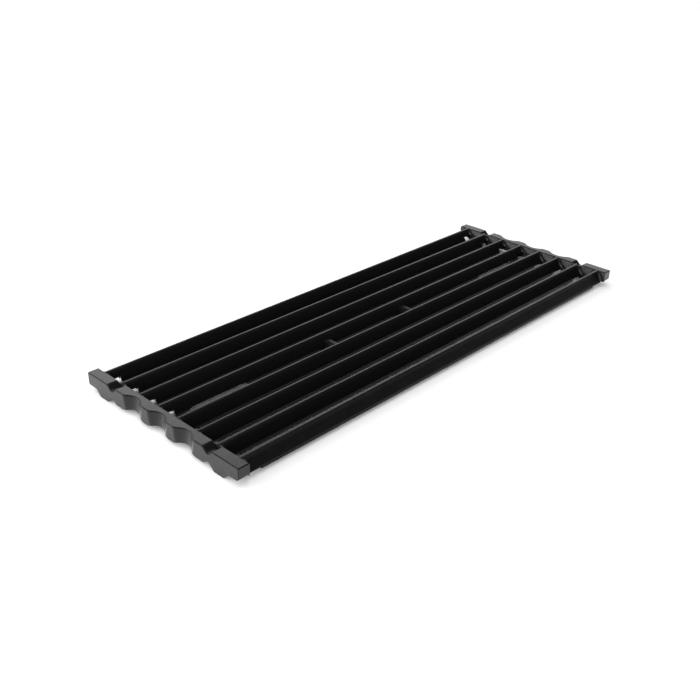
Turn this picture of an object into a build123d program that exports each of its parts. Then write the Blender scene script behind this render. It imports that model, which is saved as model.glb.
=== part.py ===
from build123d import *

import os

# A cast iron grill grate in one piece: eight ridged bars between two end rails.
# X runs along the bars, Y across them, Z up. The origin is the middle of the surface it rests on.

# Overall sizes, in millimetres
grate_length = 431.0
grate_height = 14.0

# Bars: a narrow cooking ridge on flared flanks, with a grooved lip below
bar_count = 8
bar_pitch = 20.5
ridge_width = 2.0
ridge_round = 1.3
bar_width = 10.6
flank_depth = 9.1
bar_depth = 12.0
groove_width = 7.4
groove_floor = 2.0
groove_depth = 4.2
groove_round = 0.8
lip_round = 0.8

# End rails, which reach past the outermost bars: depths are measured down from the ridges
rail_overhang = 8.5
rail_width = 8.9
rail_end_depth = 9.4
rail_middle_depth = 12.0
rail_corner_round = 0.8
rail_profile_round = 2.4
rail_edge_chamfer = 0.6

# Feet under the rails, between the first two bars on each side
foot_width = 9.0
foot_slope = 4.4

# Waist of the rail at the second bar from each side: a notch above and a hollow below
waist_width = 9.8
waist_floor = 2.4
waist_depth = 3.4
waist_round = 2.2
hollow_width = 2.6
hollow_slope = 3.0
hollow_depth = 9.8

# Scallops in the outer face of each rail, which lean out to their foot, and the shallow arch under each
scallop_count = 3
scallop_pitch = 27.3
scallop_width = 18.8
scallop_depth = 4.4
scallop_lean = 8.5
scallop_round = 4.0
arch_width = 22.0
arch_rise = 2.2

# Drain notches under the bar ends, beside the rails: each opens higher towards the middle of the grate
drain_inner_length = 9.0
drain_outer_length = 13.0
drain_inner_depth = 5.2
drain_outer_depth = 10.2
bar_root_round = 3.0
root_depth = 1.0
root_overlap = 0.5

# Cross webs in the middle gap, set off the grate's middle
web_spacing = 86.5
web_offset = -11.6
web_top_width = 5.0
web_foot_width = 9.0
web_depth = 4.4
web_round = 2.0

# Long cut-outs in the facing lips of the two middle bars, towards the two ends, for a lifting tool
lift_start = 24.0
lift_ramp = 8.0
lift_length = 46.0
lift_end_ramp = 4.0
lift_depth = 8.6

# Places worked out from the sizes above
half_length = grate_length / 2
rail_inner_x = half_length - rail_width
bar_places = [(n - (bar_count - 1) / 2) * bar_pitch for n in range(bar_count)]
half_rail = bar_places[-1] + rail_overhang
waist_y = bar_places[-2]
foot_y = (bar_places[-1] + bar_places[-2]) / 2
bar_bottom = grate_height - bar_depth
scallop_places = [(n - (scallop_count - 1) / 2) * scallop_pitch for n in range(scallop_count)]
scallop_radius = ((scallop_width / 2) ** 2 + scallop_depth**2) / (2 * scallop_depth)
scallop_x = half_length - scallop_depth + scallop_radius
scallop_cut = 4 * grate_height
arch_radius = ((arch_width / 2) ** 2 + arch_rise**2) / (2 * arch_rise)
rail_middle_z = grate_height - rail_middle_depth
rail_end_z = grate_height - rail_end_depth
hollow_z = grate_height - hollow_depth
waist_z = grate_height - waist_depth
waist_reach = waist_width / 2 + waist_round
flank_lean = (bar_width - ridge_width) / 2 / flank_depth
lift_z = grate_height - lift_depth


def rail_profile():
    """The rail seen along the bars: notched on top, with feet and hollows below."""
    underside = [
        (0, rail_middle_z),
        (waist_y - hollow_width / 2 - hollow_slope, rail_middle_z),
        (waist_y - hollow_width / 2, hollow_z),
        (waist_y + hollow_width / 2, hollow_z),
        (foot_y - foot_width / 2, 0),
        (foot_y + foot_width / 2, 0),
        (foot_y + foot_width / 2 + foot_slope, rail_end_z),
        (half_rail, rail_end_z),
        (half_rail, grate_height),
    ]
    topside = [
        (half_rail, grate_height),
        (waist_y + waist_width / 2, grate_height),
        (waist_y + waist_floor / 2, waist_z),
        (waist_y - waist_floor / 2, waist_z),
        (waist_y - waist_width / 2, grate_height),
        (0, grate_height),
    ]
    with BuildSketch(Plane.YZ.offset(rail_inner_x)) as profile:
        with BuildLine():
            FilletPolyline(*underside, radius=rail_profile_round)
            FilletPolyline(*topside, radius=waist_round)
            Line(topside[-1], underside[0])
        make_face()
        mirror(about=Plane.YZ)
        with Locations([(y, rail_middle_z + arch_rise - arch_radius) for y in scallop_places]):
            Circle(arch_radius, mode=Mode.SUBTRACT)
    return profile.sketch


def bar_profile():
    """All the bars seen from their ends: a ridge, two flared flanks and a square lip."""
    with BuildSketch(Plane.YZ.offset(-rail_inner_x)) as profile:
        with Locations([(y, grate_height) for y in bar_places]):
            Polygon(
                (-ridge_width / 2, 0),
                (ridge_width / 2, 0),
                (bar_width / 2, -flank_depth),
                (bar_width / 2, -bar_depth),
                (-bar_width / 2, -bar_depth),
                (-bar_width / 2, -flank_depth),
                align=None,
            )
        fillet(profile.vertices().group_by(Axis.Y)[-1], ridge_round)
        fillet(profile.vertices().group_by(Axis.Y)[0], lip_round)
    return profile.sketch


def groove_profile():
    """The grooves under the bars, seen from their ends."""
    with BuildSketch(Plane.YZ.offset(-rail_inner_x)) as profile:
        with Locations([(y, bar_bottom) for y in bar_places]):
            Polygon(
                (-groove_width / 2, 0),
                (-groove_floor / 2, groove_depth),
                (groove_floor / 2, groove_depth),
                (groove_width / 2, 0),
                align=None,
            )
        fillet(profile.vertices().group_by(Axis.Y)[-1], groove_round)
    return profile.sketch


def web_profile():
    """One cross web seen along Y: narrow and rounded above, broad at its foot."""
    with BuildSketch(Plane.XZ.offset(bar_pitch / 2)) as profile:
        with Locations((web_offset - web_spacing / 2, 0), (web_offset + web_spacing / 2, 0)):
            Polygon(
                (-web_foot_width / 2, bar_bottom),
                (web_foot_width / 2, bar_bottom),
                (web_top_width / 2, grate_height - web_depth),
                (-web_top_width / 2, grate_height - web_depth),
                align=None,
            )
        fillet(profile.vertices().group_by(Axis.Y)[-1], web_round)
    return profile.sketch


def lift_profile():
    """The long cut-outs seen along Y: each rises slowly from the rail and drops steeply."""
    ramp_x = half_length - lift_start
    flat_x = ramp_x - lift_ramp
    drop_x = flat_x - lift_length
    with BuildSketch(Plane.XZ.offset(bar_pitch / 2)) as profile:
        Polygon(
            (ramp_x, bar_bottom),
            (flat_x, lift_z),
            (drop_x, lift_z),
            (drop_x - lift_end_ramp, bar_bottom),
            align=None,
        )
        mirror(about=Plane.YZ)
    return profile.sketch


with BuildPart() as end_rail:
    # The rail at +X: a block with leaning scallops, cut to its profile and eased along its upper edges
    with Locations((rail_inner_x, 0, 0)):
        Box(rail_width, 2 * half_rail, grate_height, align=(Align.MIN, Align.CENTER, Align.MIN))
    fillet(end_rail.edges().filter_by(Axis.Z).group_by(Axis.X)[-1], rail_corner_round)
    with Locations([Location((scallop_x, y, grate_height), (0, -scallop_lean, 0)) for y in scallop_places]):
        Cylinder(scallop_radius, scallop_cut, mode=Mode.SUBTRACT)
    curved_edges = end_rail.edges().filter_by(GeomType.ELLIPSE)
    fillet(curved_edges.filter_by(lambda edge: edge.bounding_box().size.Z > grate_height / 2), scallop_round)
    extrude(rail_profile(), amount=rail_width, mode=Mode.INTERSECT)
    top_edges = end_rail.faces().group_by(Axis.Z)[-1].edges()
    # The chamfer runs on by itself along the rounded brinks of the waists
    chamfer(top_edges.filter_by(lambda edge: abs(abs(edge.center().Y) - waist_y) > waist_reach), rail_edge_chamfer)

with BuildPart() as drain_cutter:
    # The void of one drain notch, at the +X rail under a bar on the +Y side
    with BuildSketch():
        with Locations((rail_inner_x, 0)):
            Polygon(
                (0, -bar_width),
                (-drain_inner_length, -bar_width / 2),
                (-drain_outer_length, bar_width / 2),
                (0, bar_width),
                align=None,
            )
    extrude(amount=grate_height)
    with BuildSketch(Plane.YZ.offset(half_length)):
        Polygon(
            (-bar_width / 2, 0),
            (-bar_width / 2, grate_height - drain_inner_depth),
            (bar_width / 2, grate_height - drain_outer_depth),
            (bar_width / 2, 0),
            align=None,
        )
    extrude(amount=-grate_length, mode=Mode.INTERSECT)
    mirror(about=Plane.YZ)

with BuildPart() as bar_root:
    # The rounded spread of a bar into the rails, from just under its ridge to the foot of its flanks
    for depth in (root_depth, flank_depth):
        half_width = ridge_width / 2 + depth * flank_lean
        with BuildSketch(Plane.XY.offset(grate_height - depth)):
            with Locations((rail_inner_x - bar_root_round, 0)):
                Rectangle(
                    bar_root_round + root_overlap,
                    2 * (half_width + bar_root_round),
                    align=(Align.MIN, Align.CENTER),
                )
            with GridLocations(0, 2 * (half_width + bar_root_round), 1, 2):
                with Locations((rail_inner_x - bar_root_round, 0)):
                    Circle(bar_root_round, mode=Mode.SUBTRACT)
    loft(ruled=True)
    mirror(about=Plane.YZ)

with BuildPart() as grill_grate:
    # End rails
    add(end_rail.part)
    mirror(about=Plane.YZ)

    # Bars, with the cross webs in the middle gap
    extrude(bar_profile(), amount=2 * rail_inner_x)
    with Locations([(0, y) for y in bar_places]):
        add(bar_root.part)
    extrude(web_profile(), amount=-bar_pitch)

    # Grooves, cut-outs and drain notches
    extrude(groove_profile(), amount=2 * rail_inner_x, mode=Mode.SUBTRACT)
    extrude(lift_profile(), amount=-bar_pitch, mode=Mode.SUBTRACT)
    for y in bar_places:
        with Locations((0, y)):
            if y > 0:
                add(drain_cutter.part, mode=Mode.SUBTRACT)
            else:
                add(drain_cutter.part, rotation=(0, 0, 180), mode=Mode.SUBTRACT)
grill_grate.part.label = "grill_grate"

os.makedirs("parts", exist_ok=True)
export_step(grill_grate.part, "parts/grill_grate.step")
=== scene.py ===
import math

import bpy
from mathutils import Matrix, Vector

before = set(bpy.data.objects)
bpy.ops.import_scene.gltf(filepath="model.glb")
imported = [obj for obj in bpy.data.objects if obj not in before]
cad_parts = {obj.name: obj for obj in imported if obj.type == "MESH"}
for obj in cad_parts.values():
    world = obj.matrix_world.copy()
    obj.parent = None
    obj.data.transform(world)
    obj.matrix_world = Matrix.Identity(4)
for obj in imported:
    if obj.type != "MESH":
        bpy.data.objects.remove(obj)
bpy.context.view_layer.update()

scene = bpy.context.scene

# Lengths are in metres and angles in degrees. X runs along the bars, Y across them, and a turn starts at +X.

# Camera, with its lens and sensor in millimetres
camera_place = (-0.4913, -0.4237, 0.3280)
camera_pitch = 61.87
camera_roll = -1.35
camera_turn = -46.34
camera_lens = 46.81
camera_sensor = 36.0
camera_near = 0.01

# Casting: eased edges
weld_distance = 1e-6
edge_round = 0.0003
edge_angle = 32.0
edge_segments = 2

# Draft of the faces that stand across the bars, inside draft_end: how far their normal tips up
draft_end = 0.2085
draft_fade = 0.0005
draft_facing = 0.4
draft_tip = 0.45

# Enamel: colour, refraction, and the range of roughness of its ground and its coat over the middle of a noise
enamel_colour = (0.0045, 0.0045, 0.0047, 1.0)
ground_ior = 1.6
ground_rough = (0.34, 0.46)
coat_ior = 1.32
coat_rough = (0.14, 0.22)
noise_middle = (0.3, 0.7)

# Enamel's three textures: scale, detail and roughness of the noise, then depth and strength of the bump
grain_noise = (2400.0, 3.0, 0.55)
grain_bump = (0.0001, 0.4)
pits_noise = (700.0, 4.0, 0.6)
pits_bump = (0.00025, 0.25)
flow_noise = (90.0, 2.0, 0.5)
flow_bump = (0.0004, 0.25)

# Painted shade in the enamel's reflections on the bars: a weaker coat and ground below their ridges, short of
# the rails, and not on faces that stand across them
shaded_coat = 0.4
full_coat = 1.0
shaded_ground = 0.03
full_ground = 0.12
shade_top = 0.0110
ridge_low = 0.0132
rail_start = 0.2055
rail_inside = 0.2066
along_facing = 0.2
across_facing = 0.5

# Floor, as it sends light on and as it is seen
floor_half = 6.0
floor_tone = 0.66
floor_tone_seen = 1.1

# Light from all round: by height, and by its turn towards the key side on the left
side_light = 1.1
top_light = 0.6
sky_start = 0.3
key_turn = 140.0
key_light = 2.1
far_light = 0.0
seen_light = 1.0

# Painted dark reflection, a dome that only the enamel mirrors: the height of its edge at the sides, at the
# back and at its dark corner on the front right
flag_radius = 2.5
flag_turns = 72
flag_rows = 12
flag_side = 26.0
flag_back = 39.0
flag_low = 0.5
back_turn = 44.0
dark_turn = -50.0
dark_core = 45.0
dark_soft = 30.0
dome_reflection_glow = 0.075

# Softboxes: name, place, aim, width and height, and power in watts
softboxes = (
    ("overhead", (0.0, 0.0, 1.5), (0.0, 0.0, 0.0), (0.5, 0.5), 2.5),
    ("by_camera", (-0.96, -1.54, 0.85), (0.0, 0.0, 0.0), (2.0, 0.5), 13.0),
    ("left", (-1.61, 1.05, 0.55), (0.0, 0.0, 0.0), (1.0, 0.5), 6.5),
    ("back", (0.83, 1.55, 1.17), (-0.2, 0.0, 0.0), (1.2, 0.8), 2.8),
)


class Nodes:
    """Short ways to add nodes to one node tree and to join their sockets."""

    def __init__(self, tree):
        self.tree = tree
        tree.nodes.clear()

    def add(self, kind, **settings):
        node = self.tree.nodes.new(kind)
        for name, value in settings.items():
            setattr(node, name, value)
        return node

    def link(self, output, socket):
        self.tree.links.new(output, socket)

    def noise(self, place, scale, detail, roughness):
        node = self.add("ShaderNodeTexNoise")
        node.inputs["Scale"].default_value = scale
        node.inputs["Detail"].default_value = detail
        node.inputs["Roughness"].default_value = roughness
        self.link(place, node.inputs["Vector"])
        return node.outputs["Fac"]

    def spread(self, value, low, high, new_low, new_high):
        """The value, mapped from one range to another and held inside it."""
        node = self.add("ShaderNodeMapRange")
        for name, number in (("From Min", low), ("From Max", high), ("To Min", new_low), ("To Max", new_high)):
            node.inputs[name].default_value = number
        self.link(value, node.inputs["Value"])
        return node.outputs["Result"]

    def bump(self, height, distance, strength, normal):
        node = self.add("ShaderNodeBump")
        node.inputs["Distance"].default_value = distance
        node.inputs["Strength"].default_value = strength
        self.link(height, node.inputs["Height"])
        self.link(normal, node.inputs["Normal"])
        return node.outputs["Normal"]

    def math(self, operation, first, second):
        node = self.add("ShaderNodeMath", operation=operation)
        self.link(first, node.inputs[0])
        self.link(second, node.inputs[1])
        return node.outputs["Value"]

    def sizes(self, vector):
        """The parts of a vector along X, Y and Z, without their signs."""
        size = self.add("ShaderNodeVectorMath", operation="ABSOLUTE")
        self.link(vector, size.inputs[0])
        parts = self.add("ShaderNodeSeparateXYZ")
        self.link(size.outputs["Vector"], parts.inputs["Vector"])
        return parts.outputs

    def seen(self):
        """1 for what is seen straight or in a reflection, and 0 for what only sends light."""
        rays = self.add("ShaderNodeLightPath").outputs
        mirrored = self.math("MAXIMUM", rays["Is Glossy Ray"], rays["Is Transmission Ray"])
        return self.math("MAXIMUM", rays["Is Camera Ray"], mirrored)

    def finish(self, shader, kind="ShaderNodeOutputMaterial"):
        self.link(shader.outputs[0], self.add(kind).inputs["Surface"])


def new_material(name):
    material = bpy.data.materials.new(name)
    material.use_nodes = True
    return material, Nodes(material.node_tree)


def drafted(nodes, normal, place):
    """The normal, tipped up on the cast faces between the rails that stand across the bars."""
    across = nodes.spread(nodes.sizes(normal)["X"], draft_facing, 1.0, 0.0, 1.0)
    between = nodes.spread(nodes.sizes(place)["X"], draft_end - draft_fade, draft_end, draft_tip, 0.0)
    up = nodes.add("ShaderNodeCombineXYZ")
    nodes.link(nodes.math("MULTIPLY", across, between), up.inputs["Z"])
    tipped = nodes.add("ShaderNodeVectorMath", operation="ADD")
    nodes.link(normal, tipped.inputs[0])
    nodes.link(up.outputs["Vector"], tipped.inputs[1])
    unit = nodes.add("ShaderNodeVectorMath", operation="NORMALIZE")
    nodes.link(tipped.outputs["Vector"], unit.inputs[0])
    return unit.outputs["Vector"]


def coat_weight(nodes, normal, place):
    """A full coat on rails, ridges and faces across the bars, and a weaker one on flanks and lips, as painted
    shade in their reflections.
    """
    spot = nodes.sizes(place)
    ridge = nodes.spread(spot["Z"], shade_top, ridge_low, shaded_coat, full_coat)
    rail = nodes.spread(spot["X"], rail_start, rail_inside, shaded_coat, full_coat)
    across = nodes.spread(nodes.sizes(normal)["X"], along_facing, across_facing, shaded_coat, full_coat)
    return nodes.math("MAXIMUM", ridge, nodes.math("MAXIMUM", rail, across))


def enamelled_iron():
    """Black enamel over cast iron: a glassy coat on a rougher ground with a fine sand-cast grain."""
    material, nodes = new_material("enamelled_iron")
    spots = nodes.add("ShaderNodeTexCoord").outputs
    place, normal = spots["Object"], spots["Normal"]
    grain = nodes.noise(place, *grain_noise)
    pits = nodes.noise(place, *pits_noise)
    flow = nodes.noise(place, *flow_noise)
    # coat and ground weaker on the flanks and lips between the bars: painted shade in their reflections
    coat = coat_weight(nodes, normal, place)
    ground = nodes.spread(coat, shaded_coat, full_coat, shaded_ground, full_ground)
    shader = nodes.add("ShaderNodeBsdfPrincipled")
    shader.inputs["Base Color"].default_value = enamel_colour
    shader.inputs["IOR"].default_value = ground_ior
    shader.inputs["Coat IOR"].default_value = coat_ior
    nodes.link(coat, shader.inputs["Coat Weight"])
    nodes.link(ground, shader.inputs["Specular IOR Level"])
    nodes.link(nodes.spread(pits, *noise_middle, *ground_rough), shader.inputs["Roughness"])
    nodes.link(nodes.spread(flow, *noise_middle, *coat_rough), shader.inputs["Coat Roughness"])
    smooth = nodes.bump(flow, *flow_bump, drafted(nodes, normal, place))
    pitted = nodes.bump(pits, *pits_bump, smooth)
    nodes.link(nodes.bump(grain, *grain_bump, pitted), shader.inputs["Normal"])
    nodes.link(pitted, shader.inputs["Coat Normal"])
    nodes.finish(shader)
    return material


def dress_grate():
    """The casting keeps its CAD mesh: its edges are eased and it gets its enamel."""
    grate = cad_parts["grill_grate"]
    weld = grate.modifiers.new("weld", "WELD")
    weld.merge_threshold = weld_distance
    ease = grate.modifiers.new("ease", "BEVEL")
    ease.width = edge_round
    ease.segments = edge_segments
    ease.limit_method = "ANGLE"
    ease.angle_limit = math.radians(edge_angle)
    ease.harden_normals = False
    grate.data.materials.clear()
    grate.data.materials.append(enamelled_iron())


def white_floor():
    """A white table top that keeps the contact shadow, for the camera and in reflections alike."""
    mesh = bpy.data.meshes.new("floor")
    corners = [(-1, -1), (1, -1), (1, 1), (-1, 1)]
    mesh.from_pydata([(floor_half * x, floor_half * y, 0) for x, y in corners], [], [(0, 1, 2, 3)])
    floor = bpy.data.objects.new("floor", mesh)
    scene.collection.objects.link(floor)
    material, nodes = new_material("white_floor")
    shader = nodes.add("ShaderNodeBsdfDiffuse")
    nodes.link(nodes.spread(nodes.seen(), 0.0, 1.0, floor_tone, floor_tone_seen), shader.inputs["Color"])
    nodes.finish(shader)
    mesh.materials.append(material)


def white_world():
    """Soft light from all round, weaker from above, and plain white to the camera and in reflections."""
    world = bpy.data.worlds.new("studio")
    world.use_nodes = True
    scene.world = world
    nodes = Nodes(world.node_tree)
    place = nodes.add("ShaderNodeTexCoord").outputs["Generated"]
    direction = nodes.add("ShaderNodeSeparateXYZ")
    nodes.link(place, direction.inputs["Vector"])
    height = nodes.spread(direction.outputs["Z"], sky_start, 1.0, side_light, top_light)
    key = nodes.add("ShaderNodeVectorMath", operation="DOT_PRODUCT")
    nodes.link(place, key.inputs[0])
    key.inputs[1].default_value = (math.cos(math.radians(key_turn)), math.sin(math.radians(key_turn)), 0.0)
    side = nodes.spread(key.outputs["Value"], -1.0, 1.0, far_light, key_light)
    strength = nodes.add("ShaderNodeMix", data_type="FLOAT")
    nodes.link(nodes.seen(), strength.inputs["Factor"])
    nodes.link(nodes.math("MULTIPLY", height, side), strength.inputs["A"])
    strength.inputs["B"].default_value = seen_light
    shader = nodes.add("ShaderNodeBackground")
    shader.inputs["Color"].default_value = (1.0, 1.0, 1.0, 1.0)
    nodes.link(strength.outputs["Result"], shader.inputs["Strength"])
    nodes.finish(shader, "ShaderNodeOutputWorld")


def flag_edge(turn):
    """The height of the mirrored dark dome's lower edge, in radians, at a turn in radians."""
    away = math.degrees(math.acos(math.cos(turn - math.radians(dark_turn))))
    opening = min(1.0, max(0.0, (away - dark_core) / dark_soft))
    back = max(0.0, math.cos(turn - math.radians(back_turn)))
    edge = flag_side + (flag_back - flag_side) * back
    return math.radians(flag_low + (edge - flag_low) * opening)


def dark_reflection_dome():
    """A dark dome over the table that only the enamel mirrors, a painted dark reflection with a faint glow:
    open low down.
    """
    vertices = []
    for row in range(flag_rows + 1):
        for step in range(flag_turns):
            turn = 2 * math.pi * step / flag_turns
            low = flag_edge(turn)
            rise = low + (math.pi / 2 - low) * row / (flag_rows + 1)
            flat = flag_radius * math.cos(rise)
            vertices.append((flat * math.cos(turn), flat * math.sin(turn), flag_radius * math.sin(rise)))
    faces = []
    for row in range(flag_rows):
        lower = row * flag_turns
        upper = lower + flag_turns
        for step in range(flag_turns):
            after = (step + 1) % flag_turns
            faces.append((lower + step, lower + after, upper + after, upper + step))
    mesh = bpy.data.meshes.new("flag")
    mesh.from_pydata(vertices, [], faces)
    flag = bpy.data.objects.new("flag", mesh)
    scene.collection.objects.link(flag)
    material, nodes = new_material("dark_reflection_dome")
    # the dome's faint glow, seen only in reflections: a painted reflection
    shader = nodes.add("ShaderNodeEmission")
    shader.inputs["Strength"].default_value = dome_reflection_glow
    nodes.finish(shader)
    mesh.materials.append(material)
    flag.visible_camera = False
    flag.visible_diffuse = False
    flag.visible_transmission = False
    flag.visible_shadow = False


def softbox(name, place, aim, size, power):
    """A rectangular lamp that the camera doesn't see."""
    data = bpy.data.lights.new(name, "AREA")
    data.shape = "RECTANGLE"
    data.size, data.size_y = size
    data.energy = power
    lamp = bpy.data.objects.new(name, data)
    lamp.location = place
    direction = Vector(aim) - lamp.location
    lamp.rotation_euler = direction.to_track_quat("-Z", "Y").to_euler()
    lamp.visible_camera = False
    scene.collection.objects.link(lamp)


def photo_camera():
    """The photograph's camera, worked out from the grate's own edges."""
    data = bpy.data.cameras.new("camera")
    data.lens = camera_lens
    data.sensor_width = camera_sensor
    data.clip_start = camera_near
    camera = bpy.data.objects.new("camera", data)
    camera.location = camera_place
    camera.rotation_euler = [math.radians(angle) for angle in (camera_pitch, camera_roll, camera_turn)]
    scene.collection.objects.link(camera)
    scene.camera = camera


dress_grate()
white_floor()
white_world()
dark_reflection_dome()
for box in softboxes:
    softbox(*box)
photo_camera()
scene.view_settings.view_transform = "Standard"
